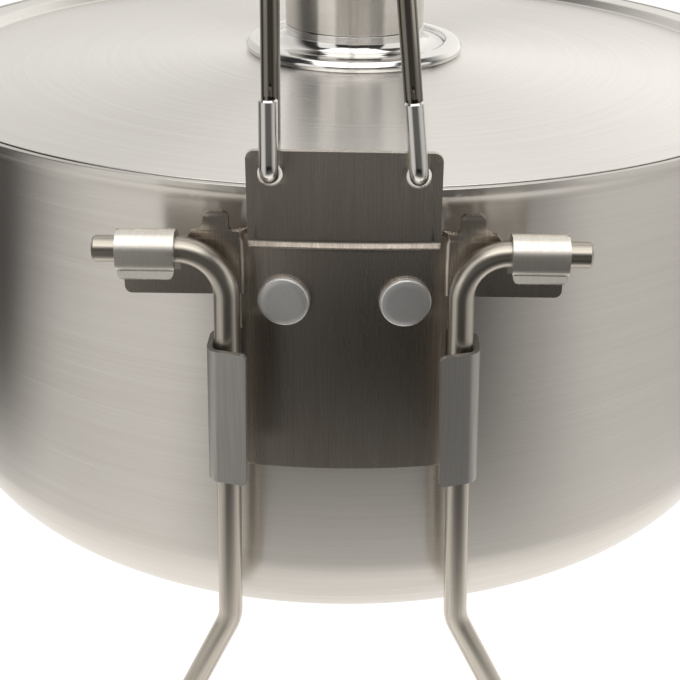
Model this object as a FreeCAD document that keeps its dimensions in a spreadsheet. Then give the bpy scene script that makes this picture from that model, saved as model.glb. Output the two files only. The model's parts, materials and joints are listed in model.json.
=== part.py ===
import FreeCAD, Part
import math
import os
import re

import Sketcher
from FreeCAD import Placement, Rotation, Vector

# A stainless camping pot with its lid. Millimetres, +Z up, origin on the pot's
# axis at the height the pot stands on, the front bracket facing -Y.
# Each side carries a riveted bracket. A wire handle turns in the bracket's two
# rolled barrels and is held straight down by two J-shaped clips, where its
# loop stands a little below the pot's base. Two wire bails hook into the
# holes of the bail plates and meet above the lid.

os.makedirs("parts", exist_ok=True)
doc = FreeCAD.newDocument("CookingPot")

# ---------------------------------------------------------------- dimensions

DIMENSIONS = [
    # pot
    ("lift", 24.0, "pot base above the ground, on the handle loops"),
    ("pot_r", 93.4, "outside radius of the pot wall"),
    ("wall", 1.0, "sheet thickness of the pot"),
    ("base_bend", 18.0, "outside radius of the bend from wall to base"),
    ("rim_up", 88.0, "rim above the pot base"),
    ("rim_r", 94.3, "outside radius of the flared rim"),
    ("seat_deep", 1.3, "depth of the lid's seat below the rim"),
    # lid
    ("lid_r", 92.9, "radius of the lid's edge"),
    ("lid_sheet", 0.9, "sheet thickness of the lid"),
    ("band_r", 87.3, "inner radius of the lid's flat band"),
    ("recess", 2.0, "depth of the recessed panel at its edge"),
    ("dome", 1.7, "rise of the panel from its edge to the knob"),
    ("screw_hole_r", 2.6, "radius of the knob screw's hole"),
    # knob
    ("foot_r", 23.9, "radius of the knob's flared foot"),
    ("foot_edge", 0.9, "thickness of the foot's edge"),
    ("foot_flare", 4.0, "radius of the foot's hollow flare"),
    ("foot_tall", 5.6, "height of the foot"),
    ("stem_r", 15.1, "outside radius of the knob's stem"),
    ("stem_sheet", 1.2, "wall of the hollow stem"),
    ("stem_tall", 18.0, "length of the stem above the foot"),
    ("cap_r", 17.6, "radius of the knob's cap"),
    ("cap_tall", 5.5, "height of the cap"),
    ("cap_bend", 2.4, "rounding of the cap's edges"),
    ("insert_r", 5.0, "radius of the threaded insert"),
    ("screw_r", 2.5, "radius of the screw's shank"),
    ("screw_long", 17.0, "length of the screw's shank"),
    ("screw_head_r", 4.6, "radius of the screw's head"),
    ("screw_head", 2.6, "height of the screw's head"),
    ("washer_r", 7.5, "radius of the washer"),
    ("washer_thick", 1.0, "thickness of the washer"),
    # clip plate, next to the wall
    ("clip_sheet", 0.8, "sheet thickness of the clip plate"),
    ("clip_half", 14.0, "half width of the clip plate's middle"),
    ("clip_low", 40.0, "clip plate's lower edge above the base"),
    ("clip_high", 77.5, "clip plate's upper edge above the base"),
    ("lip_low", 41.6, "lower end of a clip above the base"),
    ("lip_high", 64.8, "upper end of a clip above the base"),
    ("lip_out", 21.3, "outside of a clip from the middle, halfway up"),
    ("lip_in", 15.0, "free edge of a clip from the middle"),
    ("clip_slant", 1.55, "slant of a clip, which follows the wire, degrees"),
    ("outer_bend", 2.2, "outside radius of a clip's bends round the wire"),
    ("inner_bend", 1.5, "inside radius of a clip's bends round the wire"),
    # bracket, over the clip plate
    ("sheet", 1.0, "sheet thickness of the bracket and the bail plate"),
    ("wing_y", 95.5, "front face of the bracket's flat wings"),
    ("wing_half", 33.7, "outer end of a wing from the middle"),
    ("wing_low", 71.3, "wing's lower edge above the base"),
    ("wing_high", 81.6, "wing's upper edge above the base"),
    ("wing_step", 16.1, "where the wings step forward, from the middle"),
    ("web_low", 66.0, "lower edge of the bracket's hidden middle"),
    ("bump_mid", 19.4, "middle of a bump from the middle"),
    ("bump_half", 1.8, "half width of a bump"),
    ("bump_up", 3.2, "height of a bump above the wing"),
    ("hinge_up", 79.95, "hinge axis above the base"),
    ("hinge_y", 98.7, "hinge axis from the pot's axis"),
    ("barrel_in", 25.0, "inner end of a barrel from the middle"),
    ("barrel_out", 33.6, "outer end of a barrel from the middle"),
    ("barrel_r", 3.1, "outside radius of a barrel"),
    ("bore_r", 2.08, "bore of a barrel"),
    ("lip_drop", 4.6, "how far a barrel's lip hangs below its axis"),
    ("lip_back", 1.2, "how far a barrel's lip stands behind its front"),
    # bail plate, on top
    ("strip_half", 16.0, "half width of the bail plate's strip"),
    ("flap_half", 14.3, "half width of the flap"),
    ("shelf_up", 80.1, "underside of the step that carries the flap"),
    ("flap_y", 98.7, "middle of the flap's thickness"),
    ("flap_up", 95.6, "flap's upper edge above the base"),
    ("flap_round", 1.3, "rounding of the flap's corners"),
    ("eye_x", 10.8, "bail hole from the middle"),
    ("eye_up", 92.1, "bail hole above the base"),
    ("eye_r", 1.85, "radius of a bail hole"),
    # rivets
    ("rivet_x", 9.1, "rivet from the middle"),
    ("rivet_up", 70.5, "rivet above the base"),
    ("rivet_r", 2.0, "radius of a rivet's shank"),
    ("rivet_head_r", 4.1, "radius of a rivet's head"),
    ("rivet_head", 1.2, "height of a rivet's head"),
    ("rivet_tail_r", 3.2, "radius of the end closed inside the pot"),
    ("slack", 0.06, "gap between a shank and its holes"),
    # handles
    ("handle_wire", 4.0, "diameter of the handle wire"),
    ("pin_tip", 37.2, "tip of a handle's pin from the middle"),
    ("top_bend", 7.2, "radius of the bend below a barrel"),
    ("splay_bend", 9.0, "radius of the bend where the legs splay"),
    ("splay_x", 28.4, "centre of the splay bend from the middle"),
    ("splay_drop", 66.5, "centre of the splay bend below the hinge"),
    ("foot_bend", 8.0, "radius of the loop's lower corners"),
    ("foot_x", 22.5, "centre of a lower corner from the middle"),
    # bails
    ("bail_wire", 2.8, "diameter of the bail wire"),
    ("hook_bend", 2.5, "radius of the hook through the flap"),
    ("hook_up", 11.7, "cut end of the hook above the hole"),
    ("bail_leg", 69.0, "straight leg from the hole to the arch"),
    ("lean_left", 0.8, "lean of the left bail towards the middle, degrees"),
    ("lean_right", 5.5, "lean of the right bail towards the middle, degrees"),
]

sheet = doc.addObject("Spreadsheet::Sheet", "Dim")
for row, (alias, number, note) in enumerate(DIMENSIONS, start=1):
    sheet.set("A%d" % row, note)
    sheet.set("B%d" % row, str(number))
    sheet.setAlias("B%d" % row, alias)
doc.recompute()

ALIASES = {alias for alias, number, note in DIMENSIONS}


def bound(formula):
    """A formula in alias names, as an expression on the sheet."""
    def name(match):
        word = match.group(0)
        return "Dim." + word if word in ALIASES else word
    return re.sub(r"[a-z_]+", name, str(formula))


gauge = doc.addObject("App::FeaturePython", "Gauge")
gauge.addProperty("App::PropertyFloat", "Reading")


def reading(formula):
    """The number that a formula gives now."""
    gauge.setExpression("Reading", bound(formula))
    gauge.recompute()
    return gauge.Reading


# ------------------------------------------------------- solids from formulas

def solid(kind, name, at=("0", "0", "0"), turn=None, **sizes):
    """A Part primitive whose sizes and position follow the sheet."""
    thing = doc.addObject(kind, name)
    for size_name, formula in sizes.items():
        thing.setExpression(size_name, bound(formula))
    if turn:
        thing.Placement.Rotation = turn
    for axis, formula in zip("xyz", at):
        thing.setExpression("Placement.Base." + axis, bound(formula))
    return thing


def box(name, low, high):
    """A box between two corners given as formulas."""
    spans = ["(%s) - (%s)" % pair for pair in zip(high, low)]
    return solid("Part::Box", name, low, Length=spans[0], Width=spans[1], Height=spans[2])


def fuse(name, pieces):
    joined = doc.addObject("Part::MultiFuse", name)
    joined.Shapes = pieces
    joined.Refine = True
    return joined


def cut(name, base, tools):
    """Base less the tools."""
    result = doc.addObject("Part::Cut", name)
    result.Base = base
    result.Tool = tools[0] if len(tools) == 1 else fuse(name + "_tools", tools)
    return result


ALONG_X = Rotation(Vector(0, 1, 0), 90)
ALONG_Y = Rotation(Vector(1, 0, 0), -90)
HALF_TURN = Rotation(Vector(0, 0, 1), 180)


def band(name, inner, outer, half, low, high):
    """A sector of tube round the pot's axis, centred on -Y, half wide at its outer face."""
    half_angle = "asin((%s) / (%s))" % (half, outer)
    height = "(%s) - (%s)" % (high, low)
    at = ("0", "0", low)
    whole = solid("Part::Cylinder", name + "_outer", at, Radius=outer, Height=height)
    whole.setExpression("Angle", bound("2 * " + half_angle))
    start = -90 - math.degrees(math.asin(reading(half) / reading(outer)))
    whole.Placement.Rotation = Rotation(Vector(0, 0, 1), start)
    core = solid("Part::Cylinder", name + "_inner", at, Radius=inner, Height=height)
    return cut(name, whole, [core])


# ------------------------------------------------- sketches and body features

def new_body(name):
    body = doc.addObject("PartDesign::Body", name)
    body.Label = name
    return body


def sketch_on(body, plane, name, offset=None):
    """A sketch on one of the body's origin planes, moved along its normal by a formula."""
    sketch = body.newObject("Sketcher::SketchObject", name)
    role = [item for item in body.Origin.OriginFeatures if item.Role == plane]
    sketch.AttachmentSupport = [(role[0], "")]
    sketch.MapMode = "FlatFace"
    if offset:
        sketch.setExpression("AttachmentOffset.Base.z", bound(offset))
    return sketch


def fix_point(sketch, geometry, end, across, up):
    """Tie a point of the sketch to two formulas, counted from the origin."""
    for kind, formula in (("DistanceX", across), ("DistanceY", up)):
        number = reading(formula)
        index = sketch.addConstraint(
            Sketcher.Constraint(kind, -1, 1, geometry, end, number))
        sketch.setExpression("Constraints[%d]" % index, bound(formula))


def outline(sketch, corners):
    """A closed outline of straight lines through the corners, each a pair of formulas."""
    points = [Vector(reading(a), reading(b), 0) for a, b in corners]
    count = len(points)
    for i in range(count):
        sketch.addGeometry(Part.LineSegment(points[i], points[(i + 1) % count]), False)
    for i in range(count):
        sketch.addConstraint(Sketcher.Constraint("Coincident", i, 2, (i + 1) % count, 1))
    for i, (across, up) in enumerate(corners):
        fix_point(sketch, i, 1, across, up)


def wire_path(sketch, start, bends, end):
    """Straights joined by bends. A bend is (across, up, radius, side) in formulas; side is
    +1 when the wire passes it turning clockwise and -1 when it turns the other way."""
    first = Vector(reading(start[0]), reading(start[1]), 0)
    last = Vector(reading(end[0]), reading(end[1]), 0)
    rounds = [(Vector(reading(a), reading(u), 0), reading(r), side)
              for a, u, r, side in bends]
    stops = [(first, 0.0, 1)] + rounds + [(last, 0.0, 1)]
    touches = []
    for one, two in zip(stops, stops[1:]):
        (c1, r1, s1), (c2, r2, s2) = one, two
        between = c2 - c1
        angle = math.atan2(between.y, between.x) + math.acos((s1 * r1 - s2 * r2) / between.Length)
        out = Vector(math.cos(angle), math.sin(angle), 0)
        touches.append((c1 + out * (s1 * r1), c2 + out * (s2 * r2)))
    lines = []
    for a, b in touches:
        lines.append(sketch.addGeometry(Part.LineSegment(a, b), False))
    arcs = []
    for i, (centre, radius, side) in enumerate(rounds):
        enters = touches[i][1] - centre
        leaves = touches[i + 1][0] - centre
        a0 = math.atan2(enters.y, enters.x)
        a1 = math.atan2(leaves.y, leaves.x)
        if side > 0:
            a0, a1 = a1, a0
        circle = Part.Circle(centre, Vector(0, 0, 1), radius)
        arcs.append(sketch.addGeometry(Part.ArcOfCircle(circle, a0, a1), False))
    for i, (across, up, radius, side) in enumerate(bends):
        enter_end, leave_end = (2, 1) if side > 0 else (1, 2)
        sketch.addConstraint(Sketcher.Constraint("Tangent", lines[i], 2, arcs[i], enter_end))
        sketch.addConstraint(Sketcher.Constraint("Tangent", arcs[i], leave_end, lines[i + 1], 1))
        fix_point(sketch, arcs[i], 3, across, up)
        index = sketch.addConstraint(Sketcher.Constraint("Radius", arcs[i], reading(radius)))
        sketch.setExpression("Constraints[%d]" % index, bound(radius))
    fix_point(sketch, lines[0], 1, *start)
    fix_point(sketch, lines[-1], 2, *end)


def circle_sketch(body, plane, name, centre, diameter, offset):
    sketch = sketch_on(body, plane, name, offset)
    middle = Vector(reading(centre[0]), reading(centre[1]), 0)
    round_ = Part.Circle(middle, Vector(0, 0, 1), reading(diameter) / 2)
    sketch.addGeometry(round_, False)
    fix_point(sketch, 0, 3, *centre)
    index = sketch.addConstraint(Sketcher.Constraint("Diameter", 0, reading(diameter)))
    sketch.setExpression("Constraints[%d]" % index, bound(diameter))
    return sketch


def sweep(body, profile, path):
    pipe = body.newObject("PartDesign::AdditivePipe", body.Name + "_pipe")
    pipe.Profile = profile
    pipe.Spine = path
    path.Visibility = False
    profile.Visibility = False
    return pipe


def turned(name, corners, fillets=()):
    """A body turned round Z from (radius, height) corners, with some rings rounded.
    A fillet is (ring radius, ring height, rounding) in formulas."""
    body = new_body(name)
    profile = sketch_on(body, "XZ_Plane", name + "_profile")
    outline(profile, corners)
    feature = body.newObject("PartDesign::Revolution", name + "_turned")
    feature.Profile = profile
    feature.ReferenceAxis = (profile, ["V_Axis"])
    feature.Angle = 360
    doc.recompute()
    for number, (ring, up, rounding) in enumerate(fillets):
        feature = round_rings(body, feature, ring, up, rounding, number)
    return body


def round_rings(body, feature, ring, up, rounding, number):
    radius, height = reading(ring), reading(up)
    names = []
    for index, edge in enumerate(feature.Shape.Edges, start=1):
        if not isinstance(edge.Curve, Part.Circle):
            continue
        level = abs(edge.Curve.Center.z - height) < 0.01
        if level and abs(edge.Curve.Radius - radius) < 0.01:
            names.append("Edge%d" % index)
    fillet = body.newObject("PartDesign::Fillet", "%s_round_%d" % (body.Name, number))
    fillet.Base = (feature, names)
    fillet.setExpression("Radius", bound(rounding))
    doc.recompute()
    return fillet


# ------------------------------------------------------------- pot and lid

RIM = "lift + rim_up"
INNER_R = "pot_r - wall"

parts = []

pot_turned = turned(
    "pot_turned",
    [("0", "lift"),
     ("pot_r", "lift"),
     ("pot_r", RIM + " - seat_deep - wall"),
     ("rim_r", RIM + " - seat_deep"),
     ("rim_r", RIM),
     ("rim_r - wall", RIM),
     ("rim_r - wall", RIM + " - seat_deep"),
     (INNER_R, RIM + " - seat_deep - wall"),
     (INNER_R, "lift + wall"),
     ("0", "lift + wall")],
    [("pot_r", "lift", "base_bend"),
     (INNER_R, "lift + wall", "base_bend - wall"),
     ("rim_r", RIM, "wall * 0.4")])
# The rivets' holes through the wall are bored after turning.

PANEL = RIM + " - recess"
PANEL_TOP = PANEL + " + dome"
lid = turned(
    "lid",
    [("screw_hole_r", PANEL_TOP),
     ("foot_r", PANEL_TOP),
     ("band_r - recess", PANEL),
     ("band_r", RIM),
     ("lid_r", RIM),
     ("lid_r", RIM + " - lid_sheet"),
     ("band_r + 0.4", RIM + " - lid_sheet"),
     ("band_r - recess + 0.4", PANEL + " - lid_sheet"),
     ("foot_r", PANEL_TOP + " - lid_sheet"),
     ("screw_hole_r", PANEL_TOP + " - lid_sheet")])

FOOT_TOP = PANEL_TOP + " + foot_tall"
knob_foot = turned(
    "knob_foot",
    [("screw_hole_r", PANEL_TOP),
     ("foot_r", PANEL_TOP),
     ("foot_r", PANEL_TOP + " + foot_edge"),
     ("stem_r", PANEL_TOP + " + foot_edge + 0.5"),
     ("stem_r", FOOT_TOP),
     ("stem_r - stem_sheet - 0.4", FOOT_TOP),
     ("stem_r - stem_sheet - 0.4", PANEL_TOP + " + foot_edge"),
     ("screw_hole_r", PANEL_TOP + " + foot_edge")],
    [("stem_r", PANEL_TOP + " + foot_edge + 0.5", "foot_flare")])

STEM_TOP = FOOT_TOP + " + stem_tall"
knob_stem = turned(
    "knob_stem",
    [("stem_r - stem_sheet", FOOT_TOP),
     ("stem_r", FOOT_TOP),
     ("stem_r", STEM_TOP),
     ("stem_r - stem_sheet", STEM_TOP)])

knob_cap = turned(
    "knob_cap",
    [("0", STEM_TOP),
     ("cap_r", STEM_TOP),
     ("cap_r", STEM_TOP + " + cap_tall"),
     ("0", STEM_TOP + " + cap_tall")],
    [("cap_r", STEM_TOP + " + cap_tall", "cap_bend"),
     ("cap_r", STEM_TOP, "cap_bend * 0.4")])

INSERT_FOOT = PANEL_TOP + " + foot_edge"
knob_insert = turned(
    "knob_insert",
    [("screw_r", INSERT_FOOT),
     ("insert_r", INSERT_FOOT),
     ("insert_r", STEM_TOP),
     ("0", STEM_TOP),
     ("0", STEM_TOP + " - 2"),
     ("screw_r", STEM_TOP + " - 2")])

UNDER_LID = PANEL_TOP + " - lid_sheet"
knob_washer = turned(
    "knob_washer",
    [("screw_hole_r", UNDER_LID + " - washer_thick"),
     ("washer_r", UNDER_LID + " - washer_thick"),
     ("washer_r", UNDER_LID),
     ("screw_hole_r", UNDER_LID)])

SCREW_SEAT = UNDER_LID + " - washer_thick"
knob_screw = turned(
    "knob_screw",
    [("0", SCREW_SEAT + " - screw_head"),
     ("screw_head_r", SCREW_SEAT + " - screw_head"),
     ("screw_head_r", SCREW_SEAT),
     ("screw_r", SCREW_SEAT),
     ("screw_r", SCREW_SEAT + " + screw_long"),
     ("0", SCREW_SEAT + " + screw_long")],
    [("screw_head_r", SCREW_SEAT + " - screw_head", "1.2")])

parts += [lid, knob_foot, knob_stem, knob_cap, knob_insert, knob_washer, knob_screw]

# ------------------------------------------- the stack of plates on each side

CLIP_R = "pot_r + clip_sheet"
BRACKET_R = CLIP_R + " + sheet"
STRIP_R = BRACKET_R + " + sheet"
RIVET_UP = "lift + rivet_up"


def radial(kind, name, inner, side, **sizes):
    """A round solid whose axis runs out from the pot's axis through a rivet's centre."""
    angle = math.degrees(math.asin(reading("rivet_x") / reading("pot_r")))
    outward = Rotation(Vector(0, 0, 1), side * angle) * Rotation(Vector(1, 0, 0), 90)
    across = "%d * (%s) * rivet_x / pot_r" % (side, inner)
    away = "0 - (%s) * sqrt(1 - (rivet_x / pot_r) ^ 2)" % inner
    return solid(kind, name, (across, away, RIVET_UP), outward, **sizes)


def rivet_holes(name):
    """Bores for both rivets, through the wall and every plate."""
    return [radial("Part::Cylinder", "%s_hole_%s" % (name, side_name), "pot_r - 6", side,
                   Radius="rivet_r + slack", Height="12")
            for side, side_name in ((-1, "left"), (1, "right"))]


def turn_to(thing, where):
    """Front pieces stay, rear pieces go to the far side of the pot."""
    thing.Label = thing.Name
    if where == "rear":
        thing.Placement = Placement(Vector(0, 0, 0), HALF_TURN)
    parts.append(thing)
    return thing


def j_clip(name, side):
    """One clip's section across the wire, drawn from the wall outwards, at full length."""
    body = new_body(name)
    section = sketch_on(body, "XY_Plane", name + "_section", "lift + lip_low")
    corners = [("clip_half - 0.8", "0 - pot_r + 0.8"),
               ("lip_out", "0 - wing_y + 1.1"),
               ("lip_out", "0 - wing_y - 6.4"),
               ("lip_in", "0 - wing_y - 7.9"),
               ("lip_in - 0.1", "0 - wing_y - 7.2"),
               ("lip_out - clip_sheet + 0.1", "0 - wing_y - 5.8"),
               ("lip_out - clip_sheet + 0.1", "0 - wing_y + 0.5"),
               ("clip_half - 0.8", "0 - pot_r + 0.3")]
    if side < 0:
        corners = [("0 - (%s)" % across, away) for across, away in reversed(corners)]
    outline(section, corners)
    pad = body.newObject("PartDesign::Pad", name + "_pad")
    pad.Profile = section
    pad.setExpression("Length", bound("lip_high - lip_low"))
    doc.recompute()
    before = pad
    for bend, near, far in (("outer_bend", "lip_out - 0.2", "lip_out + 1"),
                            ("inner_bend", "lip_out - clip_sheet - 0.2", "lip_out - 0.2")):
        edges = []
        for index, edge in enumerate(before.Shape.Edges, start=1):
            upright = edge.BoundBox.ZLength > 1
            if upright and reading(near) < abs(edge.CenterOfMass.x) < reading(far):
                edges.append("Edge%d" % index)
        fillet = body.newObject("PartDesign::Fillet", name + "_" + bend)
        fillet.Base = (before, edges)
        fillet.setExpression("Radius", bound(bend))
        doc.recompute()
        before = fillet
    halfway = Vector(side * reading("lip_out"), 0, reading("lift + (lip_low + lip_high) / 2"))
    slant = Rotation(Vector(0, 1, 0), -side * reading("clip_slant"))
    body.Placement = Placement(Vector(0, 0, 0), slant, halfway)
    return body


def clip_plate(where):
    """Spring-steel plate against the wall, with a J-shaped clip for each leg of the handle."""
    name = where + "_clip_plate"
    middle = band(name + "_middle", "pot_r", CLIP_R, "clip_half",
                  "lift + clip_low", "lift + clip_high")
    clips = [j_clip("%s_%s" % (name, side_name), side)
             for side, side_name in ((-1, "left"), (1, "right"))]
    whole = fuse(name + "_blank", [middle] + clips)
    return turn_to(cut(name, whole, rivet_holes(name)), where)


def wing(name, side):
    """One wing with its bump, rolled barrel and hanging lip, side -1 on the left."""
    def span(near, far):
        near, far = ("%d * (%s)" % (side, near), "%d * (%s)" % (side, far))
        return (near, far) if side > 0 else (far, near)

    low, high = "lift + wing_low", "lift + wing_high"
    front = "0 - wing_y"
    pieces = []
    x0, x1 = span("wing_step", "wing_half")
    pieces.append(box(name + "_flat", (x0, front, low), (x1, front + " + sheet", high)))
    x0, x1 = span("wing_step", "wing_step + sheet")
    pieces.append(box(name + "_step", (x0, front, low), (x1, "0 - pot_r + 0.2", high)))
    x0, x1 = span("bump_mid - bump_half", "bump_mid + bump_half")
    top = high + " + bump_up - bump_half"
    pieces.append(box(name + "_bump", (x0, front, high), (x1, front + " + sheet", top)))
    pieces.append(solid("Part::Cylinder", name + "_bump_top",
                        ("%d * bump_mid" % side, front, top), ALONG_Y,
                        Radius="bump_half", Height="sheet"))
    x0, x1 = span("barrel_in", "barrel_out")
    pieces.append(solid("Part::Cylinder", name + "_barrel",
                        (x0, "0 - hinge_y", "lift + hinge_up"), ALONG_X,
                        Radius="barrel_r", Height="barrel_out - barrel_in"))
    neck = "lift + hinge_up"
    pieces.append(box(name + "_neck", (x0, "0 - hinge_y + barrel_r - 0.8", neck + " - 0.8"),
                      (x1, front + " + sheet", neck + " + 2.3")))
    face = "0 - hinge_y - barrel_r + lip_back"
    pieces.append(box(name + "_lip", (x0, face, "lift + hinge_up - lip_drop"),
                      (x1, face + " + 0.9", "lift + hinge_up")))
    return pieces


def bracket(where):
    """Stamped bracket: curved middle under the bail plate, two flat wings with barrels."""
    name = where + "_bracket"
    middle = band(name + "_middle", CLIP_R, BRACKET_R, "wing_step + 0.9",
                  "lift + web_low", "lift + wing_high")
    pieces = [middle] + wing(name + "_left", -1) + wing(name + "_right", 1)
    whole = fuse(name + "_blank", pieces)
    bores = [solid("Part::Cylinder", "%s_bore_%s" % (name, side_name),
                   (start, "0 - hinge_y", "lift + hinge_up"), ALONG_X,
                   Radius="bore_r", Height="barrel_out - barrel_in + 2")
             for start, side_name in (("0 - barrel_out - 1", "left"), ("barrel_in - 1", "right"))]
    return turn_to(cut(name, whole, bores + rivet_holes(name)), where)


def bail_plate(where):
    """Top plate: a strip over the bracket, a step forward, and a flap with two holes."""
    name = where + "_bail_plate"
    strip = band(name + "_strip", BRACKET_R, STRIP_R, "strip_half",
                 "lift + clip_low", "lift + shelf_up + sheet")
    back = "0 - (%s) * sqrt(1 - (flap_half / (%s)) ^ 2) + 0.6" % (STRIP_R, STRIP_R)
    shelf = cut(name + "_shelf",
                box(name + "_shelf_box",
                    ("0 - flap_half", "0 - flap_y - sheet / 2", "lift + shelf_up"),
                    ("flap_half", back, "lift + shelf_up + sheet")),
                [solid("Part::Cylinder", name + "_shelf_core", ("0", "0", "lift + shelf_up"),
                       Radius=BRACKET_R + " + 0.01", Height="sheet")])
    flap = box(name + "_flap",
               ("0 - flap_half", "0 - flap_y - sheet / 2", "lift + shelf_up"),
               ("flap_half", "0 - flap_y + sheet / 2", "lift + flap_up"))
    doc.recompute()
    corners = []
    for index, edge in enumerate(flap.Shape.Edges, start=1):
        middle = edge.CenterOfMass
        along_y = edge.BoundBox.YLength > 0.5 and edge.BoundBox.XLength < 0.5
        if along_y and edge.BoundBox.ZLength < 0.5 and middle.z > reading("lift + shelf_up + 5"):
            corners.append((index, reading("flap_round"), reading("flap_round")))
    rounded = doc.addObject("Part::Fillet", name + "_flap_rounded")
    rounded.Base = flap
    rounded.Edges = corners
    eyes = [solid("Part::Cylinder", "%s_eye_%s" % (name, side_name),
                  ("%d * eye_x" % side, "0 - flap_y - sheet", "lift + eye_up"), ALONG_Y,
                  Radius="eye_r", Height="2 * sheet")
            for side, side_name in ((-1, "left"), (1, "right"))]
    whole = fuse(name + "_blank", [strip, shelf, rounded])
    return turn_to(cut(name, whole, eyes + rivet_holes(name)), where)


def rivets(where):
    """Both rivets of one side: low head outside, shank, closed end inside the pot."""
    name = where + "_rivets"
    pair = []
    for side, side_name in ((-1, "left"), (1, "right")):
        tag = "%s_%s" % (name, side_name)
        tail_face = "(%s) * 0.9993" % INNER_R
        shank = radial("Part::Cylinder", tag + "_shank", INNER_R + " - 0.9", side,
                       Radius="rivet_r", Height=STRIP_R + " - pot_r + wall + 1.2")
        tail = radial("Part::Cylinder", tag + "_tail", tail_face + " - 0.8", side,
                      Radius="rivet_tail_r", Height="0.8")
        head = radial("Part::Cylinder", tag + "_head", STRIP_R, side,
                      Radius="rivet_head_r", Height="rivet_head")
        whole = fuse(tag, [shank, tail, head])
        doc.recompute()
        pair.append(whole)
    group = doc.addObject("Part::Compound", name)
    group.Links = pair
    return turn_to(group, where)


pot_bored = cut("pot_bored", pot_turned, rivet_holes("pot_front"))
rear_holes = fuse("pot_rear_holes", rivet_holes("pot_rear"))
rear_holes.Placement = Placement(Vector(0, 0, 0), HALF_TURN)
parts.append(cut("pot_shell", pot_bored, [rear_holes]))

for where in ("front", "rear"):
    clip_plate(where)
    bracket(where)
    bail_plate(where)
    rivets(where)

# ------------------------------------------------------------ wire handles


def handle(where):
    """A loop of wire, drawn in its own frame: hinge axis on X, legs straight down."""
    name = where + "_handle"
    body = new_body(name)
    path = sketch_on(body, "XZ_Plane", name + "_path")
    drop = "lift + hinge_up - handle_wire / 2"
    half = [("0 - barrel_in", "0 - top_bend", "top_bend", 1),
            ("0 - splay_x", "0 - splay_drop", "splay_bend", 1),
            ("0 - foot_x", "foot_bend - (%s)" % drop, "foot_bend", -1)]
    other = [("0 - (%s)" % across, up, radius, side)
             for across, up, radius, side in reversed(half)]
    wire_path(path, ("0 - pin_tip", "0"), half + other, ("pin_tip", "0"))
    profile = circle_sketch(body, "YZ_Plane", name + "_section", ("0", "0"),
                            "handle_wire", "0 - pin_tip")
    sweep(body, profile, path)
    away = "hinge_y" if where == "rear" else "0 - hinge_y"
    body.setExpression("Placement.Base.y", bound(away))
    body.setExpression("Placement.Base.z", bound("lift + hinge_up"))
    parts.append(body)
    return body


for where in ("front", "rear"):
    handle(where)

# -------------------------------------------------------------- wire bails


def bail(name, side, lean):
    """A hoop from the front flap to the rear flap, in its own frame: hinge axis on Y
    through both holes, the arch over Z."""
    body = new_body(name)
    path = sketch_on(body, "YZ_Plane", name + "_path")
    hook_out = "flap_y + hook_bend"
    hook_in = "flap_y - hook_bend"
    bends = [("0 - flap_y", "hook_bend", "hook_bend", -1),
             ("0", "bail_leg", hook_in, 1),
             ("flap_y", "hook_bend", "hook_bend", -1)]
    wire_path(path, ("0 - (%s)" % hook_out, "hook_up"), bends, (hook_out, "hook_up"))
    profile = circle_sketch(body, "XY_Plane", name + "_section", ("0", "0 - (%s)" % hook_out),
                            "bail_wire", "hook_up")
    sweep(body, profile, path)
    body.Placement.Rotation = Rotation(Vector(0, 1, 0), -side * reading(lean))
    body.setExpression("Placement.Base.x", bound("%d * eye_x" % side))
    body.setExpression("Placement.Base.z", bound("lift + eye_up"))
    parts.append(body)
    return body


bail("left_bail", -1, "lean_left")
bail("right_bail", 1, "lean_right")

# ------------------------------------------------------------ check and save

doc.recompute()
for item in doc.Objects:
    if "Invalid" in item.State or "Error" in item.State:
        raise RuntimeError("%s: %s" % (item.Name, item.State))
for part in parts:
    shape = part.Shape
    if shape.isNull() or not shape.isValid() or shape.Volume <= 0:
        raise RuntimeError(part.Label + " has no valid shape")
    shape.exportStep("parts/%s.step" % part.Label)
    print("%-20s %10.1f mm3  %d solids" % (part.Label, shape.Volume, len(shape.Solids)))
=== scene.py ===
import json
import math

import bmesh
import bpy
from mathutils import Matrix, Quaternion, Vector


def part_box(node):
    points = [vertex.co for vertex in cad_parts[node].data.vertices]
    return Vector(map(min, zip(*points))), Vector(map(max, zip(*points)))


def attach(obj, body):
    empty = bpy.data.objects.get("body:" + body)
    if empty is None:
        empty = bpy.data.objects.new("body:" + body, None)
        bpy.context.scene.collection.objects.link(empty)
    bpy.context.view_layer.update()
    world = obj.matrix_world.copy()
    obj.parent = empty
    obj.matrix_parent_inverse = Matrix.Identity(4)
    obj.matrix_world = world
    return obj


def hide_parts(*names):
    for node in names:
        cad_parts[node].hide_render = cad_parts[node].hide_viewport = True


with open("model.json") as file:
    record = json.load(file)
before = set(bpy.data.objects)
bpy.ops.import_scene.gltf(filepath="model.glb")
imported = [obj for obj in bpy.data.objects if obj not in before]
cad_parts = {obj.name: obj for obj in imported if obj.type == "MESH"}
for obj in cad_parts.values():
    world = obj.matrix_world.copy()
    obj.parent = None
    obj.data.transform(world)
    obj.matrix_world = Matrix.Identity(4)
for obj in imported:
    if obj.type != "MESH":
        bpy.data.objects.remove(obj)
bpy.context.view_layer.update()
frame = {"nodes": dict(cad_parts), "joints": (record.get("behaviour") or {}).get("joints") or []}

# A stainless camping pot, close up, seen from a little above its front bracket.
# Lengths of the pot are in millimetres and turn into metres in the mesh builders. The floor,
# the lights and the camera are placed in metres.

MM = 0.001

# ------------------------------------------------------------ sizes from the frame


def node_box(node):
    """Lowest and highest corner of a CAD node, in millimetres."""
    low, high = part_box(node)
    return low / MM, high / MM


def pivot(joint_name):
    """The point that a joint moves about, in millimetres."""
    joint = next(j for j in frame["joints"] if j["name"] == joint_name)
    return [length / MM for length in joint["pos_m"]]


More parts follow.
